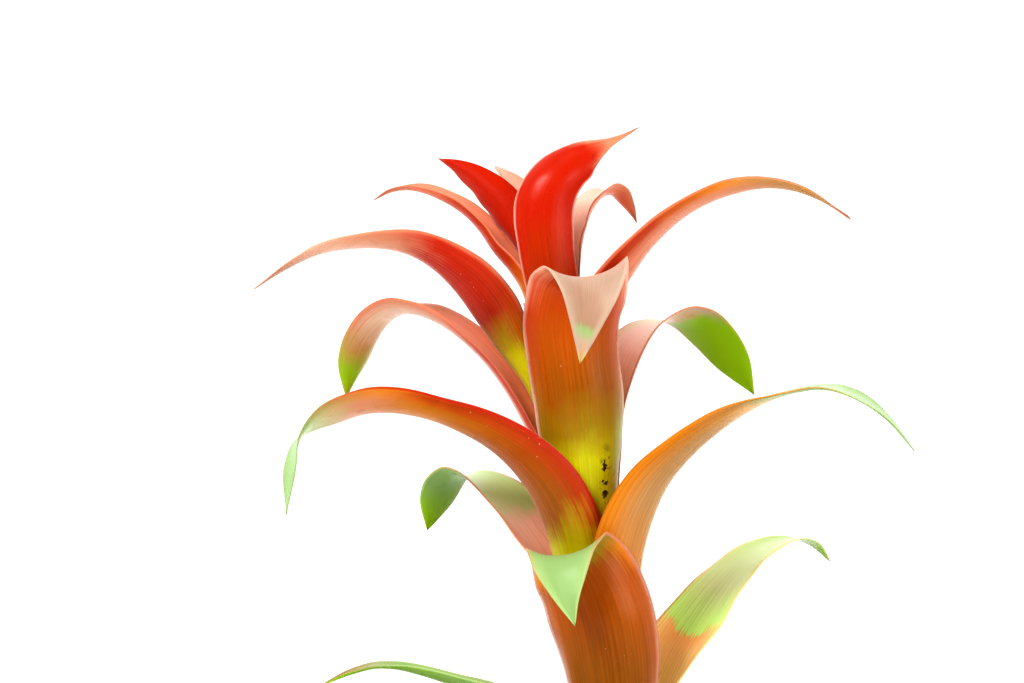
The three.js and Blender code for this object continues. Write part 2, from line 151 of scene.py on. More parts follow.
class Recipe:
    """A material under construction: each call adds one node and returns its first output."""

    def __init__(self, name):
        self.material = bpy.data.materials.new(name)
        self.material.use_nodes = True
        self.tree = self.material.node_tree
        self.shader = self.tree.nodes["Principled BSDF"]

    def plug(self, value, socket):
        if isinstance(value, bpy.types.NodeSocket):
            self.tree.links.new(value, socket)
        else:
            socket.default_value = value

    def add(self, kind, inputs=(), output=0, **settings):
        node = self.tree.nodes.new(kind)
        for key, value in settings.items():
            setattr(node, key, value)
        for key, value in dict(inputs).items():
            self.plug(value, node.inputs[key])
        return node.outputs[output]

    def maths(self, operation, first, second=0.0, third=0.0):
        return self.add("ShaderNodeMath", {0: first, 1: second, 2: third}, operation=operation)

    def band(self, value, low, high, bottom=0.0, top=1.0):
        ends = {"Value": value, "From Min": low, "From Max": high, "To Min": bottom, "To Max": top}
        return self.add("ShaderNodeMapRange", ends, interpolation_type="SMOOTHSTEP")

    def mix(self, amount, first, second, blend="MIX"):
        ends = {"Factor": amount, 6: first, 7: second}
        return self.add("ShaderNodeMix", ends, output=2, data_type="RGBA", blend_type=blend)

    def ramp(self, value, stops):
        output = self.add("ShaderNodeValToRGB", {"Fac": value})
        elements = output.node.color_ramp.elements
        elements[0].position, elements[0].color = stops[0]
        elements[1].position, elements[1].color = stops[-1]
        for position, colour in stops[1:-1]:
            elements.new(position).color = colour
        return output

    def noise(self, where, scale, detail=3.0, rough=0.5):
        inputs = {"Vector": where, "Scale": scale, "Detail": detail, "Roughness": rough}
        return self.add("ShaderNodeTexNoise", inputs)

    def stretched(self, where, scale):
        return self.add("ShaderNodeMapping", {"Vector": where, "Scale": scale})

    def bumped(self, height, depth, strength=1.0, under=None):
        inputs = {"Height": height, "Distance": depth, "Strength": strength}
        if under is not None:
            inputs["Normal"] = under
        return self.add("ShaderNodeBump", inputs)

    def finish(self, **inputs):
        for key, value in inputs.items():
            self.plug(value, self.shader.inputs[key.replace("_", " ")])
        return self.material


white_floor = Recipe("white floor")
floor_tone = white_floor.noise(white_floor.add("ShaderNodeTexCoord", output=3), 3.0)
floor_colour = white_floor.mix(floor_tone, paint(246, 246, 246), paint(240, 240, 240))
floor.data.materials.append(white_floor.finish(Base_Color=floor_colour, Roughness=0.8))
print("material tools ready")

# %% [markdown]
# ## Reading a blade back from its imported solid
#
# Each packed blade is a coarse closed gutter: rings of corners around a thin section, from
# the foot to a single corner at the point. Its place and sweep are exactly right, but its
# faces are few. To refine it, the rings are found again. Corners that lie the same number
# of edges away from the point belong to one ring, and walking round a ring puts its corners
# in order. The middle of the outer and the inner row then gives one curved sheet of points.

# %% Find the rings of a blade
def rings_from(point):
    """Corners grouped by how many edges they lie from one corner, the farthest group first."""
    steps = {point: 0}
    front = [point]
    while front:
        corner = front.pop(0)
        for edge in corner.link_edges:
            other = edge.other_vert(corner)
            if other not in steps:
                steps[other] = steps[corner] + 1
                front.append(other)
    farthest = max(steps.values())
    return [{corner for corner, at in steps.items() if at == step} for step in range(farthest, 0, -1)]


def loop_order(members):
    """Places of one ring's corners, in order round the thin section."""
    def neighbours(corner):
        found = {}
        for edge in corner.link_edges:
            other = edge.other_vert(corner)
            if other in members:
                found[other] = sum(1 for face in edge.link_faces if all(v in members for v in face.verts))
        return found

    order = [min(members, key=lambda corner: (len(neighbours(corner)), corner.index))]
    while len(order) < len(members):
        options = {other: inside for other, inside in neighbours(order[-1]).items() if other not in order}
        order.append(min(options, key=options.get))
    return np.array([corner.co[:] for corner in order])


def corner_rings(node):
    """The rings of a packed blade, foot first, each a loop of corners, and then its point."""
    mesh = bmesh.new()
    mesh.from_mesh(nodes[node].data)
    bmesh.ops.remove_doubles(mesh, verts=mesh.verts, dist=1e-6)
    for point in sorted(mesh.verts, key=lambda corner: -len(corner.link_edges)):
        groups = rings_from(point)
        if len({len(group) for group in groups}) == 1:
            break
    rings, tip = [loop_order(group) for group in groups], np.array(point.co)
    mesh.free()
    return rings, tip


rings, tip = corner_rings("bract_front_mid")
print("rings", len(rings), "corners", [len(ring) for ring in rings])

# %% [markdown]
# ## From coarse rings to a fine sheet
#
# A leaf has no thickness to speak of, so it is best thought of as one curved sheet. A smooth
# curve is run through the coarse points along the blade, and then across it. The sheet can
# be sampled as finely as its bends ask for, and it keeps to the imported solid.

# %% Sheet tools
def flow(points, count):
    """Finer rows on smooth curves through the given rows, evenly spaced along them."""
    points = np.asarray(points, dtype=float)
    steps = np.linalg.norm(np.diff(points, axis=0), axis=-1).mean(axis=-1)
    at = np.concatenate([[0.0], np.cumsum(steps)]) / steps.sum()
    slopes = np.gradient(points, at, axis=0)
    wanted = np.linspace(0, 1, count)
    left = np.clip(np.searchsorted(at, wanted, side="right") - 1, 0, len(at) - 2)
    span = (at[left + 1] - at[left])[:, None, None]
    t = ((wanted - at[left])[:, None, None]) / span
    start, end = points[left], points[left + 1]
    pull, push = slopes[left] * span, slopes[left + 1] * span
    return (
        (2 * t**3 - 3 * t**2 + 1) * start + (t**3 - 2 * t**2 + t) * pull
        + (3 * t**2 - 2 * t**3) * end + (t**3 - t**2) * push
    )


def length(points):
    """The length of the path through a row of points."""
    return np.linalg.norm(np.diff(points, axis=0), axis=1).sum()


def middle_sheet(node):
    """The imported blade's middle surface as rows of points, foot first, with its outer side known."""
    rings, point = corner_rings(node)
    size = len(rings[0])
    half = size // 2
    aligned = [rings[0]]
    for ring in rings[1:]:
        turns = [np.roll(order, shift, axis=0) for order in (ring, ring[::-1]) for shift in range(size)]
        before = aligned[-1] - aligned[-1].mean(axis=0)
        aligned.append(min(turns, key=lambda turn: np.linalg.norm(turn - turn.mean(axis=0) - before)))
    edges = np.linalg.norm(np.roll(aligned[0], -1, axis=0) - aligned[0], axis=1)
    cut = min(range(half), key=lambda i: edges[i] + edges[i + half])
    turned = [np.roll(ring, -cut - 1, axis=0) for ring in aligned]
    split = [(ring[:half], ring[half:][::-1]) for ring in turned]
    first, second = split[1]
    outward = (first - second if length(first) > length(second) else second - first)[half // 2]
    sheet = [(a + b) / 2 for a, b in split] + [np.repeat(point[None], half, axis=0)]
    along = sheet[2][half // 2] - sheet[1][half // 2]
    across = sheet[1][half // 2 + 1] - sheet[1][half // 2 - 1]
    if np.dot(np.cross(along, across), outward) < 0:
        sheet = [row[::-1] for row in sheet]
    return np.array(sheet)


def fine_sheet(node, rows, columns):
    along = flow(middle_sheet(node), rows)
    return flow(along.transpose(1, 0, 2), columns).transpose(1, 0, 2)


sample = fine_sheet("bract_front_mid", 90, 19)
print("front bract sheet", sample.shape, "length mm", round(1000 * length(sample[:, 9])))

# %% [markdown]
# ## Making a blade
#
# The sheet becomes a mesh from a flat grid: each grid corner moves to its place on the sheet.
# The grid's own flat position is kept as a UV map, which is the leaf's own ruler. U runs from
# foot to point and V from margin to margin, so veins and colour bands follow the leaf however
# it curls. Real blades aren't perfect either: they ripple a little, their margins wave, and
# parallel veins raise faint ridges. A Solidify modifier then gives the sheet its wall,
# thick at the keel and thin at the margins, with a second finish on the inner side.

# %% Blade maker
def ripples(sheet, seed, ridges, wave):
    """How far each point of the sheet stands proud of it, in metres."""
    rows, columns = sheet.shape[:2]
    lift = np.zeros((rows, columns))
    for i in range(rows):
        u = i / (rows - 1)
        free = min(1.0, max(0.0, (u - 0.25) / 0.3))
        for j in range(columns):
            v = j / (columns - 1)
            edge = abs(2 * v - 1)
            broad = noise.noise((u * 4, v * 1.5, seed)) * 0.0008 * free
            vein = math.sin(v * ridges * math.tau) * 0.00006 * (1 - edge**4)
            margin = noise.noise((u * 9, round(v) * 5.0, seed + 7)) * wave * edge**3 * free
            lift[i, j] = broad + vein + margin
    lift[-1] = lift[-1].mean()
    return lift


def make_blade(node, skins, seed, rows=90, columns=19, ridges=9, wave=0.0012, wall=0.0009):
    sheet = fine_sheet(node, rows, columns)
    normals = np.cross(np.gradient(sheet, axis=0), np.gradient(sheet, axis=1))
    normals /= np.maximum(np.linalg.norm(normals, axis=-1, keepdims=True), 1e-12)
    sheet = sheet + normals * ripples(sheet, seed, ridges, wave)[..., None]

    mesh = bmesh.new()
    ruler = mesh.loops.layers.uv.new("ruler")
    weight = mesh.verts.layers.deform.new()
    bmesh.ops.create_grid(mesh, x_segments=rows - 1, y_segments=columns - 1, size=0.5)
    for face in mesh.faces:
        for loop in face.loops:
            loop[ruler].uv = (loop.vert.co.x + 0.5, loop.vert.co.y + 0.5)
        face.smooth = True
    for corner in mesh.verts:
        u, v = corner.co.x + 0.5, corner.co.y + 0.5
        corner[weight][0] = (1 - 0.6 * abs(2 * v - 1) ** 2) * (1 - 0.8 * u**4)
        corner.co = sheet[round(u * (rows - 1)), round(v * (columns - 1))]
    bmesh.ops.remove_doubles(mesh, verts=mesh.verts, dist=1e-6)

    piece = shown(mesh, node + "_blade")
    for skin in skins:
        piece.data.materials.append(skin)
    piece.vertex_groups.new(name="wall")
    solid = piece.modifiers.new("wall", "SOLIDIFY")
    solid.thickness = wall
    solid.offset = 0
    solid.vertex_group = "wall"
    solid.thickness_vertex_group = 0.3
    solid.material_offset = 1
    solid.material_offset_rim = 1
    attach(piece, "root")
    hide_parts(node)
    return piece


# %% [markdown]
# ## The bracts' finish
#
# A bract is painted by the plant in bands along its length: yellow-green where it was covered
# by its neighbours, orange-brown and then fire red where it met the light, and often green or
# dry at its point. The flanks are redder than the keel. The bands have ragged ends because
# each vein carries its own colour. The surface is waxy, with fine parallel veins, a thin pale
# margin and a few specks. Each of these is one step of the recipe, drawn on the blade's ruler.

# %% Bract skins
lemon = paint(205, 200, 12)
lime = paint(160, 205, 50)
olive = paint(160, 130, 8)
brown = paint(156, 90, 0)
rust = paint(180, 90, 0)
wine = paint(154, 38, 1)
copper = paint(216, 132, 24)
ember = paint(182, 58, 1)
flame = paint(190, 40, 1)
coral = paint(224, 138, 106)
salmon = paint(222, 152, 122)
blush = paint(234, 186, 164)
sand = paint(250, 190, 118)
tan = paint(200, 150, 96)
sage = paint(150, 180, 116)
grass = paint(146, 184, 14)
mint = paint(182, 206, 138)
# The three paints below, used only on the lowest right bract, are its pale gold and green made brighter. They
# are partly its own colour, partly painted glow of light shining through it, and partly painted light where
# the bract in front shades it.
fresh = paint(205, 255, 140)
honey_and_glow = paint(255, 222, 150)
pale_green_glow = paint(220, 236, 176)
claypink = paint(188, 160, 140)
straw = paint(172, 112, 84)
petal = paint(252, 216, 198)
umber = paint(172, 134, 110)


def bract_skin(name, keel, flank, margin, seed, gloss=0.3, marks=None, glow=0.06):
    skin = Recipe(name)
    ruler = skin.add("ShaderNodeUVMap", uv_map="ruler")
    parts = skin.add("ShaderNodeSeparateXYZ", {0: ruler}).node
    along, across = parts.outputs[0], parts.outputs[1]
    spot = skin.add("ShaderNodeTexCoord", output=3)
    own = skin.add("ShaderNodeVectorMath", {0: ruler, 1: (seed * 3.7, seed * 1.3, 0)}, operation="ADD")

    # each vein shifts the bands a little, and so do broad clouds
    veins = skin.noise(skin.stretched(own, (1.6, 46, 1)), 1.0, 2.0)
    fibres = skin.noise(skin.stretched(own, (5, 170, 1)), 1.0, 3.0, 0.7)
    clouds = skin.noise(spot, 45.0, 3.0)
    shift = skin.maths("MULTIPLY_ADD", veins, 0.09, skin.maths("MULTIPLY_ADD", clouds, 0.16, -0.125))
    shifted = skin.maths("ADD", along, shift)
    edge = skin.maths("ABSOLUTE", skin.maths("MULTIPLY_ADD", across, 2.0, -1.0))
    flanking = skin.band(skin.maths("MULTIPLY_ADD", veins, 0.5, edge), 0.7, 1.2)
    colour = skin.mix(flanking, skin.ramp(shifted, keel), skin.ramp(shifted, flank))
    rim = skin.band(skin.maths("MULTIPLY_ADD", clouds, 0.1, edge), 0.94, 1.03)
    rim = skin.maths("MULTIPLY", rim, skin.band(along, 0.92, 0.7, 0, 0.8))
    colour = skin.mix(rim, colour, margin)

    # streaks darken and lighten it, fading where the blade narrows, and specks lie on it
    calm = skin.band(along, 0.82, 0.45)
    fine, broad = skin.band(fibres, 0.3, 0.7, -0.14, 0.1), skin.band(veins, 0.3, 0.7, -0.12, 0.06)
    shade = skin.maths("MULTIPLY_ADD", skin.maths("ADD", fine, broad), calm, 1.0)
    shades = skin.add("ShaderNodeCombineColor", {0: shade, 1: shade, 2: shade})
    colour = skin.mix(1.0, colour, shades, "MULTIPLY")
    pale = skin.band(skin.noise(spot, 1100.0, 1.0), 0.76, 0.82, 0, 0.5)
    specks = skin.maths("MULTIPLY", pale, skin.band(clouds, 0.5, 0.62))
    colour = skin.mix(specks, colour, paint(246, 220, 190))
    if marks:
        away = skin.add("ShaderNodeVectorMath", {0: ruler, 1: marks + (0,)}, output=1, operation="DISTANCE")
        spots = skin.noise(spot, 420.0, 2.0)
        dark = skin.maths("MULTIPLY", skin.band(away, 0.1, 0.03), skin.band(spots, 0.54, 0.58))
        colour = skin.mix(dark, colour, paint(52, 34, 10))

    relief = skin.bumped(skin.maths("MULTIPLY", veins, calm), 0.0006, 0.35)
    relief = skin.bumped(skin.maths("MULTIPLY", fibres, calm), 0.0002, 0.3, relief)
    rough = skin.band(clouds, 0.3, 0.7, gloss - 0.05, gloss + 0.08)
    return skin.finish(
        Base_Color=colour, Roughness=rough, Normal=relief, Specular_IOR_Level=0.2, Sheen_Weight=0.24,
        Sheen_Roughness=0.35, Subsurface_Weight=glow, Subsurface_Radius=(0.003, 0.002, 0.001),
        Subsurface_Scale=0.5,
    )


print("bract recipe ready")

# %% [markdown]
# ## Dressing the bracts
#
# Every bract has its own bands: the keel and the flanks of its outer side, then those of its
# paler inner side, and its margin. The numbers are shares of its length.

# %% Bracts
red_keel = [(0, lemon), (0.22, olive), (0.36, rust), (0.6, ember), (0.85, coral), (1, straw)]
red_flank = [(0, lemon), (0.2, olive), (0.3, ember), (0.5, flame), (0.78, ember), (0.9, salmon), (1, straw)]
inside = [(0, sand), (0.4, coral), (0.8, salmon), (1, straw)]
pink_inside = [(0, sand), (0.25, salmon), (0.6, petal), (1, salmon)]
green_keel = [(0, lime), (0.5, sage), (1, grass)]
green_inside = [(0, mint), (0.8, sage), (1, straw)]
looks = {
    "bract_low_front": (green_keel, green_keel, green_inside, green_inside, mint),
    "bract_low_left": (green_keel, green_keel, green_inside, green_inside, mint),
    "bract_front_low": (
        [(0, brown), (0.4, brown), (0.55, rust), (0.64, rust), (0.7, olive), (0.78, sage), (1, sage)],
        [(0, brown), (0.3, rust), (0.6, rust), (0.66, copper), (0.72, olive), (0.78, sage), (1, sage)],
        [(0, blush), (0.6, salmon), (0.7, sage), (1, sage)],
        [(0, blush), (0.6, salmon), (0.7, sage), (1, mint)], coral),
    # Its pale gold and green bands also carry painted glow of light shining through it.
    "bract_right_low": (
        [(0, honey_and_glow), (0.36, sand), (0.38, fresh), (0.55, pale_green_glow), (0.9, mint), (1, grass)],
        [(0, honey_and_glow), (0.36, honey_and_glow), (0.38, fresh), (0.55, pale_green_glow), (0.9, mint), (1, grass)],
        [(0, honey_and_glow), (0.3, honey_and_glow), (0.4, sand), (0.41, fresh), (0.55, pale_green_glow), (0.9, mint), (1, grass)],
        [(0, honey_and_glow), (0.3, sand), (0.4, honey_and_glow), (0.41, fresh), (0.6, pale_green_glow), (1, grass)], honey_and_glow),
    "bract_back_low": (red_keel, red_flank, inside, inside, salmon),
    "bract_left_back_low": (
        [(0, lemon), (0.3, rust), (0.55, tan), (0.66, mint), (0.85, sage), (1, grass)],
        [(0, olive), (0.3, ember), (0.55, coral), (0.66, mint), (0.85, sage), (1, grass)],
        [(0, sand), (0.25, copper), (0.4, salmon), (0.58, blush), (0.64, mint), (1, sage)],
        [(0, sand), (0.25, copper), (0.54, salmon), (0.64, mint), (1, sage)], salmon),
    "bract_right_mid": (
        [(0, lemon), (0.2, copper), (0.4, tan), (0.56, tan), (0.66, sand), (0.76, sage), (1, sage)],
        [(0, copper), (0.42, copper), (0.54, copper), (0.64, tan), (0.74, sage), (1, sage)],
        [(0, blush), (0.5, salmon), (0.64, sage), (1, sage)], [(0, blush), (0.5, salmon),
         (0.64, sage), (1, sage)], copper),
    "bract_left_mid": (
        [(0, lemon), (0.22, lemon), (0.3, brown), (0.46, rust), (0.62, copper), (0.74, salmon),
         (0.84, mint), (1, sage)],
        [(0, lemon), (0.22, lemon), (0.3, ember), (0.6, ember), (0.72, copper), (0.8, tan),
         (0.86, sage), (1, sage)],
        [(0, blush), (0.6, salmon), (0.74, sage), (1, sage)], [(0, blush), (0.6, salmon),
         (0.74, sage), (1, sage)], flame),
    "bract_back_mid": (red_keel, red_flank, inside, inside, salmon),
    "bract_right_back_mid": (
        [(0, lime), (0.2, petal), (0.5, petal), (0.7, tan), (0.74, grass), (1, grass)],
        [(0, lime), (0.2, blush), (0.54, petal), (0.74, claypink), (0.82, grass), (1, grass)],
        [(0, petal), (0.6, petal), (0.8, mint), (1, grass)], [(0, blush), (0.5, petal), (0.8, mint),
         (1, grass)], coral),
    "bract_front_mid": (
        [(0, lemon), (0.25, lemon), (0.33, olive), (0.42, brown), (0.55, rust), (0.72, ember),
         (0.8, salmon), (1, sage)],
        [(0, lemon), (0.25, lime), (0.35, olive), (0.44, rust), (0.6, ember), (0.72, coral), (1, sage)],
        [(0, blush), (0.7, coral), (0.8, claypink), (0.87, umber), (0.9, sage), (0.93, claypink),
         (0.985, tan), (1, grass)],
        [(0, blush), (0.72, coral), (0.8, claypink), (0.95, claypink), (0.985, mint), (1, grass)], blush),
    "bract_left_back_mid": (
        [(0, lemon), (0.1, sand), (0.2, petal), (0.6, blush), (0.76, petal), (0.86, tan),
         (0.93, grass), (1, olive)],
        [(0, lemon), (0.15, coral), (0.25, flame), (0.5, flame), (0.62, coral), (0.8, salmon),
         (0.94, grass), (1, olive)],
        inside, [(0, coral), (0.4, coral), (0.6, salmon), (0.8, tan), (1, sage)], coral),
    "bract_back_high": (red_keel, red_flank, inside, inside, flame),
    "bract_left_high": (
        [(0, lemon), (0.27, lemon), (0.34, olive), (0.42, wine), (0.58, flame), (0.66, salmon),
         (0.8, blush), (1, straw)],
        [(0, lemon), (0.27, lemon), (0.35, rust), (0.44, ember), (0.6, flame), (0.72, salmon),
         (0.85, blush), (1, straw)],
        pink_inside, pink_inside, coral),
    "bract_right_high": (
        [(0, lemon), (0.2, copper), (0.4, coral), (0.7, salmon), (0.9, tan), (1, straw)],
        [(0, copper), (0.3, ember), (0.55, ember), (0.7, copper), (0.82, tan), (1, tan)],
        inside, inside, coral),
    "bract_top_front": (
        [(0, brown), (0.32, rust), (0.45, ember), (0.6, flame), (0.84, flame), (0.89, coral),
         (0.97, coral), (1, straw)],
        [(0, brown), (0.32, rust), (0.4, ember), (0.5, flame), (0.8, flame), (0.86, salmon),
         (0.97, coral), (1, straw)],
        inside, inside, blush),
    "bract_top_back": (red_keel, red_flank, inside, inside, flame),
    "bract_left_back_high": (
        [(0, lemon), (0.34, copper), (0.46, ember), (0.62, flame), (0.8, coral), (0.96, salmon), (1, straw)],
        [(0, lemon), (0.34, copper), (0.46, ember), (0.7, ember), (0.85, coral), (1, straw)],
        inside, inside, coral),
    "bract_top_right_back": (
        [(0, blush), (0.6, blush), (0.8, coral), (0.95, coral), (1, straw)],
        [(0, blush), (0.4, salmon), (0.6, blush), (0.85, salmon), (1, straw)],
        pink_inside, pink_inside, coral),
    "bract_top_left": (
        [(0, rust), (0.3, ember), (0.5, flame), (0.97, flame), (1, straw)],
        [(0, rust), (0.3, flame), (0.97, flame), (1, straw)], inside, inside, flame),
    "bract_bud": (
        [(0, salmon), (0.8, coral), (1, blush)], [(0, salmon), (1, blush)],
        [(0, blush), (1, blush)], [(0, coral), (1, blush)], blush),
}
for seed, (node, (keel, flank, inner_keel, inner_flank, margin)) in enumerate(looks.items(), start=1):
    marks = (0.2, 0.3) if node == "bract_front_mid" else None
    glow = 0.3 if node == "bract_right_low" else 0.06
    outer = bract_skin(node + " outer", keel, flank, margin, seed, marks=marks, glow=glow)
    inner = bract_skin(node + " inner", inner_keel, inner_flank, margin, seed + 40, 0.4, glow=glow)
    make_blade(node, [outer, inner], seed)
print("bracts", len(looks))

# %% [markdown]
# ## Rosette leaves
#
# The rosette's leaves are plain straps: one glossy green on top, a duller, bluer green
# beneath, with close parallel veins, and a paler foot. They are made just as the bracts are.

# %% Leaf skins and leaves
def leaf_skin(name, deep, fresh, foot, gloss):
    skin = Recipe(name)
    ruler = skin.add("ShaderNodeUVMap", uv_map="ruler")
    along = skin.add("ShaderNodeSeparateXYZ", {0: ruler})
    spot = skin.add("ShaderNodeTexCoord", output=3)
    veins = skin.noise(skin.stretched(ruler, (2.0, 60, 1)), 1.0, 2.0)
    fibres = skin.noise(skin.stretched(ruler, (8, 170, 1)), 1.0, 3.0, 0.7)
    clouds = skin.noise(spot, 16.0, 4.0)
    tone = skin.maths("MULTIPLY_ADD", veins, 0.5, skin.maths("MULTIPLY", clouds, 0.5))
    colour = skin.mix(skin.band(tone, 0.35, 0.65), deep, fresh)
    shifted = skin.maths("ADD", along, skin.maths("MULTIPLY_ADD", veins, 0.08, -0.04))
    colour = skin.mix(skin.band(shifted, 0.22, 0.02), colour, foot)
    colour = skin.mix(skin.band(shifted, 0.965, 1.0), colour, paint(150, 118, 70))
    shade = skin.band(fibres, 0.3, 0.7, 0.84, 1.1)
    shades = skin.add("ShaderNodeCombineColor", {0: shade, 1: shade, 2: shade})
    colour = skin.mix(1.0, colour, shades, "MULTIPLY")
    relief = skin.bumped(veins, 0.0008, 0.35)
    relief = skin.bumped(fibres, 0.0003, 0.3, relief)
    rough = skin.band(clouds, 0.3, 0.7, gloss - 0.05, gloss + 0.08)
    return skin.finish(
        Base_Color=colour, Roughness=rough, Normal=relief, Coat_Weight=0.1, Coat_Roughness=0.3,
        Subsurface_Weight=0.08, Subsurface_Radius=(0.001, 0.002, 0.0005), Subsurface_Scale=0.5,
    )


under = leaf_skin("leaf underside", paint(74, 112, 48), paint(104, 142, 66), paint(170, 182, 110), 0.5)
upper = leaf_skin("leaf upper side", paint(52, 98, 20), paint(96, 142, 38), paint(168, 184, 96), 0.34)
leaves = [node for node in nodes if node.startswith("leaf_")]
for seed, node in enumerate(sorted(leaves)):
    make_blade(node, [under, upper], 60 + seed, rows=100, columns=17, ridges=7, wave=0.0022)

scape_outer = bract_skin("scape bract outer", green_keel, green_keel, mint, 90)
scape_inner = bract_skin("scape bract inner", green_inside, green_inside, mint, 91)
scapes = [node for node in nodes if node.startswith("scape_")]
for seed, node in enumerate(sorted(scapes)):
    make_blade(node, [scape_outer, scape_inner], 90 + seed)
print("leaves", len(leaves), "scape bracts", len(scapes))

# %% [markdown]
# ## Stem
#
# The stem is hidden nearly everywhere, so it needs little: a smooth green rod with faint
# rings where bracts were attached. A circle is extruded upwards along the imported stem's middle.

# %% Stem
def packed_sections(node):
    """The heights of a packed upright piece, with the middle and the radius at each."""
    corners = np.array([corner.co[:] for corner in nodes[node].data.vertices])
    sections = []
    for height in sorted(set(np.round(corners[:, 2], 5))):
        level = corners[np.abs(corners[:, 2] - height) < 2e-5]
        middle = (level.min(axis=0) + level.max(axis=0)) / 2
        sections.append((height, middle[0], middle[1], np.linalg.norm(level - middle, axis=1).max()))
    return np.array(sections)


sections = packed_sections("stem")
mesh = bmesh.new()
bmesh.ops.create_circle(mesh, cap_ends=True, segments=24, radius=1)
low = sections[0]
for corner in mesh.verts:
    corner.co = (low[1] + corner.co.x * low[3], low[2] + corner.co.y * low[3], low[0])
ring = list(mesh.edges)
heights = np.linspace(sections[0][0], sections[-1][0], 120)
before = low
for height in heights[1:]:
    now = [height] + [np.interp(height, sections[:, 0], sections[:, k]) for k in (1, 2, 3)]
    now[3] *= 1 + 0.03 * max(0, math.sin(height * 260))
    grown = bmesh.ops.extrude_edge_only(mesh, edges=ring)["geom"]
    for corner in [part for part in grown if isinstance(part, bmesh.types.BMVert)]:
        spread = ((corner.co.x - before[1]) / before[3], (corner.co.y - before[2]) / before[3])
        corner.co = (now[1] + spread[0] * now[3], now[2] + spread[1] * now[3], height)
    ring = [part for part in grown if isinstance(part, bmesh.types.BMEdge)]
    before = now
bmesh.ops.contextual_create(mesh, geom=ring)
bmesh.ops.recalc_face_normals(mesh, faces=mesh.faces)
for face in mesh.faces:
    face.smooth = len(face.verts) == 4
stem = shown(mesh, "stem_rod")

stem_skin = Recipe("stem skin")
spot = stem_skin.add("ShaderNodeTexCoord", output=3)
fibres = stem_skin.noise(stem_skin.stretched(spot, (900, 900, 40)), 1.0, 3.0)
blotches = stem_skin.noise(spot, 60.0, 4.0)
tone = stem_skin.mix(stem_skin.band(blotches, 0.35, 0.65), paint(120, 142, 52), paint(160, 170, 74))
tone = stem_skin.mix(stem_skin.band(fibres, 0.45, 0.7, 0, 0.35), tone, paint(84, 104, 40))
relief = stem_skin.bumped(fibres, 0.0003, 0.5)
stem.data.materials.append(stem_skin.finish(Base_Color=tone, Roughness=0.5, Normal=relief))
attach(stem, "root")
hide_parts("stem")
print("stem corners", len(stem.data.vertices))

# %% [markdown]
# ## Pot
#
# A thrown clay pot is a turned shape, so a profile spun about the upright axis makes it
# directly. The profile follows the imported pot, with rounder lips, a soft foot and faint
# throwing rings. It stops short of the middle, because the floor has holes and is made next.

# %% Pot
low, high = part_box("pot")
height = high[2]
rim = high[0]
wall, floor_top, band_foot, foot = 0.0045, 0.007, 0.096, 0.047


def side_radius(z):
    return foot + (rim - 0.003 - foot) * z / height


def turn_round(mesh, profile, steps):
    """A full turn of a profile about the upright axis, with its seam closed."""
    centre, upright = (0, 0, 0), (0, 0, 1)
    bmesh.ops.spin(mesh, geom=profile, cent=centre, axis=upright, angle=math.tau, steps=steps, use_merge=True)
    bmesh.ops.remove_doubles(mesh, verts=mesh.verts, dist=1e-6)


profile = [(foot - 0.004, 0), (foot - 0.0015, 0.0006), (foot - 0.0003, 0.002)]
for step in range(1, 30):
    z = 0.002 + (band_foot - 0.002) * step / 30
    profile.append((side_radius(z) + 0.00018 * math.sin(z * 900) - 0.0001, z))
profile += [
    (side_radius(band_foot), band_foot), (rim - 0.0018, band_foot + 0.0005),
    (rim - 0.0008, band_foot + 0.0018), (rim - 0.0004, band_foot + 0.008),
    (rim - 0.0002, height - 0.004), (rim - 0.0006, height - 0.0014),
    (rim - 0.002, height - 0.0002), (rim - 0.005, height - 0.0002),
    (side_radius(height) - wall + 0.0006, height - 0.0014), (side_radius(height) - wall, height - 0.004),
    (side_radius(0.06) - wall, 0.06), (side_radius(floor_top) - wall, floor_top + 0.002),
    (side_radius(floor_top) - wall - 0.002, floor_top),
]
mesh = bmesh.new()
corners = [mesh.verts.new((radius, 0, z)) for radius, z in profile]
edges = [mesh.edges.new(pair) for pair in zip(corners, corners[1:])]
turn_round(mesh, corners + edges, 96)
for face in mesh.faces:
    face.smooth = True
print("pot profile corners", len(profile))

# %% [markdown]
# Four drain holes go through the floor. Their circles are laid on both of its levels, each
# level is filled up to its rings, and a bridge between each pair of circles lines the hole.

# %% Pot floor
drain_circle, drain_radius = 0.027, 0.0055
open_rings = [edge for edge in mesh.edges if edge.is_boundary]
drains = [[], [], [], []]
for level in (0, floor_top):
    outline = [edge for edge in open_rings if abs(edge.verts[0].co.z - level) < 1e-4]
    for i, drain in enumerate(drains):
        turn = math.tau * (i + 0.5) / len(drains)
        place = Matrix.Translation((drain_circle * math.cos(turn), drain_circle * math.sin(turn), level))
        circle = bmesh.ops.create_circle(mesh, segments=24, radius=drain_radius, matrix=place)["verts"]
        ring = {edge for corner in circle for edge in corner.link_edges}
        drain += ring
        outline += ring
    bmesh.ops.triangle_fill(mesh, use_beauty=True, edges=outline)
for drain in drains:
    bmesh.ops.bridge_loops(mesh, edges=drain)
bmesh.ops.recalc_face_normals(mesh, faces=mesh.faces)
pot = shown(mesh, "clay_pot")
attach(pot, "root")
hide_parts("pot")
print("pot height mm", round(height * 1000), "rim mm", round(rim * 2000))

# %% [markdown]
# Fired clay is matt and never one colour: paler where the kiln was hottest, with a chalky
# bloom of salts, a darker damp foot, fine grit and faint rings left by the thrower's fingers.

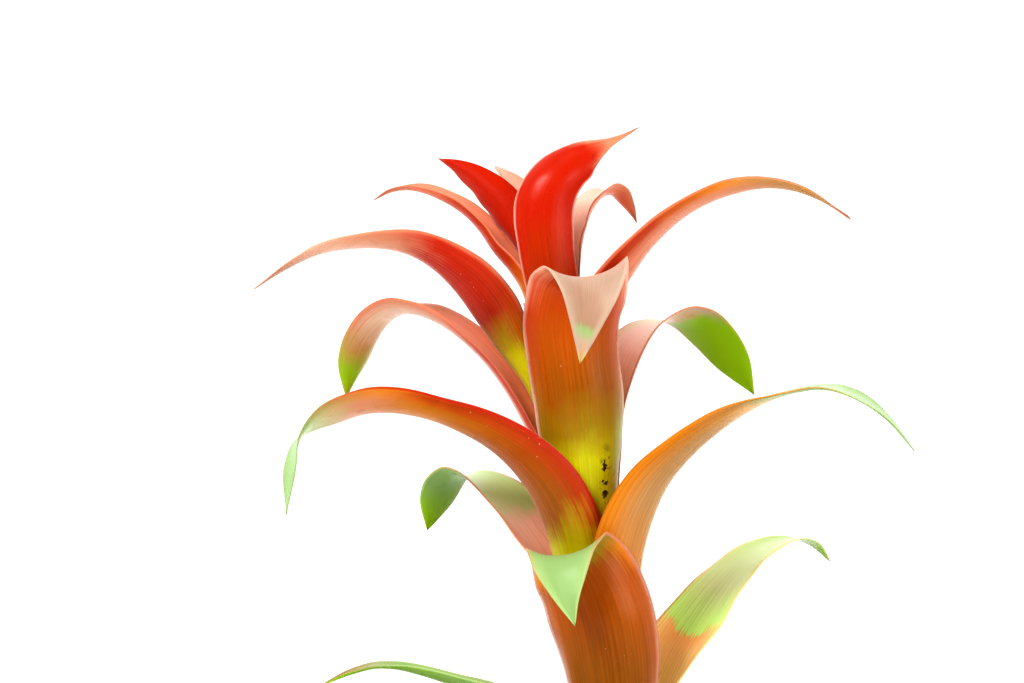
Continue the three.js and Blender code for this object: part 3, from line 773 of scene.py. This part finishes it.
# %% Clay
clay = Recipe("terracotta")
spot = clay.add("ShaderNodeTexCoord", output=3)
up = clay.add("ShaderNodeSeparateXYZ", {0: spot}, output=2)
patches = clay.noise(spot, 22.0, 5.0, 0.6)
grit = clay.noise(spot, 900.0, 2.0)
rings = clay.noise(clay.stretched(spot, (6, 6, 420)), 1.0, 3.0)
tone = clay.mix(clay.band(patches, 0.3, 0.7), paint(172, 92, 58), paint(200, 122, 82))
bloom = clay.band(clay.noise(spot, 34.0, 8.0, 0.68), 0.52, 0.72, 0, 0.55)
tone = clay.mix(bloom, tone, paint(222, 190, 164))
damp = clay.maths("ADD", up, clay.maths("MULTIPLY_ADD", patches, 0.05, -0.025))
tone = clay.mix(clay.band(damp, 0.035, 0.0, 0, 0.45), tone, paint(120, 62, 40))
tone = clay.mix(clay.band(grit, 0.62, 0.75, 0, 0.5), tone, paint(110, 60, 40))
relief = clay.bumped(rings, 0.0006, 0.4)
relief = clay.bumped(grit, 0.0002, 0.5, relief)
rough = clay.band(patches, 0.3, 0.7, 0.8, 0.95)
pot.data.materials.append(clay.finish(Base_Color=tone, Roughness=rough, Normal=relief))
print("clay fired")

# %% [markdown]
# ## Potting mix
#
# The mix is a bed of dark crumbs that fills the pot to below its rim. It's a turned shape like
# the pot, with a hollow for the stem, and noise raises its top into crumbs.

# %% Potting mix
soil_low, soil_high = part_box("soil")
bed_radius = soil_high[0] - 0.0006
bed_foot, hollow_floor = 0.0075, 0.0905
stock = 0.0136
bed_edge, bed_heap = 0.102, 0.106


def bed_height(x, y):
    reach = math.hypot(x, y)
    share = min(1.0, max(0.0, (bed_radius - reach) / (bed_radius - 0.027)))
    crumbs = noise.noise((x * 260, y * 260, 1.0)) * 0.0012
    grains = noise.noise((x * 700, y * 700, 4.0)) * 0.0006
    return bed_edge + (bed_heap - bed_edge) * share + (crumbs + grains)


mesh = bmesh.new()
corners = [mesh.verts.new((0.002, 0, bed_foot))]
for step in range(9):
    z = bed_foot + 0.094 * step / 8
    share = z / bed_edge
    corners.append(mesh.verts.new((foot + (soil_high[0] - foot) * share - 0.0052 + 0.0052 * share, 0, z)))
bed_rings = 44
for step in range(bed_rings + 1):
    reach = bed_radius + (stock - bed_radius) * step / bed_rings
    corners.append(mesh.verts.new((reach, 0, bed_height(reach, 0))))
corners.append(mesh.verts.new((stock, 0, hollow_floor)))
corners.append(mesh.verts.new((0.002, 0, hollow_floor)))
edges = [mesh.edges.new(pair) for pair in zip(corners, corners[1:])]
turn_round(mesh, corners + edges, 150)
bmesh.ops.holes_fill(mesh, edges=mesh.edges, sides=200)
bmesh.ops.recalc_face_normals(mesh, faces=mesh.faces)
for corner in mesh.verts:
    if corner.co.z > 0.1 and stock * 1.01 < math.hypot(corner.co.x, corner.co.y):
        corner.co.z = bed_height(corner.co.x, corner.co.y)
for face in mesh.faces:
    face.smooth = True
bed = shown(mesh, "potting_mix")
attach(bed, "root")
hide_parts("soil")
print("bed corners", len(bed.data.vertices))

# %% [markdown]
# Chips of bark and a few white grains lie on the bed. Each is a small faceted lump, squashed,
# made uneven, turned at random and set down, and all of them are joined into one piece.

# %% Bark and grains
random.seed(11)
chip_count = 620
mesh = bmesh.new()
for count in range(chip_count):
    reach = 0.018 + (bed_radius - 0.022) * math.sqrt(random.random())
    turn = random.random() * math.tau
    x, y = reach * math.cos(turn), reach * math.sin(turn)
    pale = count % 9 == 0
    size = random.uniform(0.0007, 0.0013) if pale else random.uniform(0.0012, 0.0036)
    made = bmesh.ops.create_icosphere(mesh, subdivisions=1, radius=size)["verts"]
    squash = (1, 1, 0.9) if pale else (1.3, random.uniform(0.5, 0.9), random.uniform(0.25, 0.5))
    bmesh.ops.scale(mesh, verts=made, vec=squash)
    for corner in made:
        corner.co *= 1 + 0.25 * noise.noise(corner.co * 900 + Vector((count, 0, 0)))
    tilt = Vector((random.uniform(-1, 1), random.uniform(-1, 1), 3)).to_track_quat("Z", "Y")
    bmesh.ops.rotate(mesh, verts=made, cent=(0, 0, 0), matrix=tilt.to_matrix())
    bmesh.ops.translate(mesh, verts=made, vec=(x, y, bed_height(x, y) + size * 0.2))
    for face in {face for corner in made for face in corner.link_faces}:
        face.material_index = 1 if pale else 0
chips = shown(mesh, "bark_chips")
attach(chips, "root")
print("chips and grains", chip_count)

# %% [markdown]
# Peat, bark and the white grains are all matt and mottled. One recipe serves the three, with
# its own two colours and size of mottling for each.

# %% Crumb finishes
def crumb_finish(name, dark, light, scale):
    crumb = Recipe(name)
    spot = crumb.add("ShaderNodeTexCoord", output=3)
    patches = crumb.noise(spot, scale, 5.0, 0.65)
    grain = crumb.noise(spot, 1400.0, 3.0)
    tone = crumb.mix(crumb.band(patches, 0.35, 0.68), dark, light)
    relief = crumb.bumped(patches, 0.001, 0.6)
    return crumb.finish(Base_Color=tone, Roughness=0.95, Normal=crumb.bumped(grain, 0.0003, 0.6, relief))


bed.data.materials.append(crumb_finish("peat", paint(34, 24, 18), paint(74, 54, 40), 260))
chips.data.materials.append(crumb_finish("bark", paint(58, 36, 24), paint(128, 88, 60), 180))
chips.data.materials.append(crumb_finish("white grains", paint(206, 202, 194), paint(236, 234, 228), 400))
print("mix finishes", len(bed.data.materials) + len(chips.data.materials))
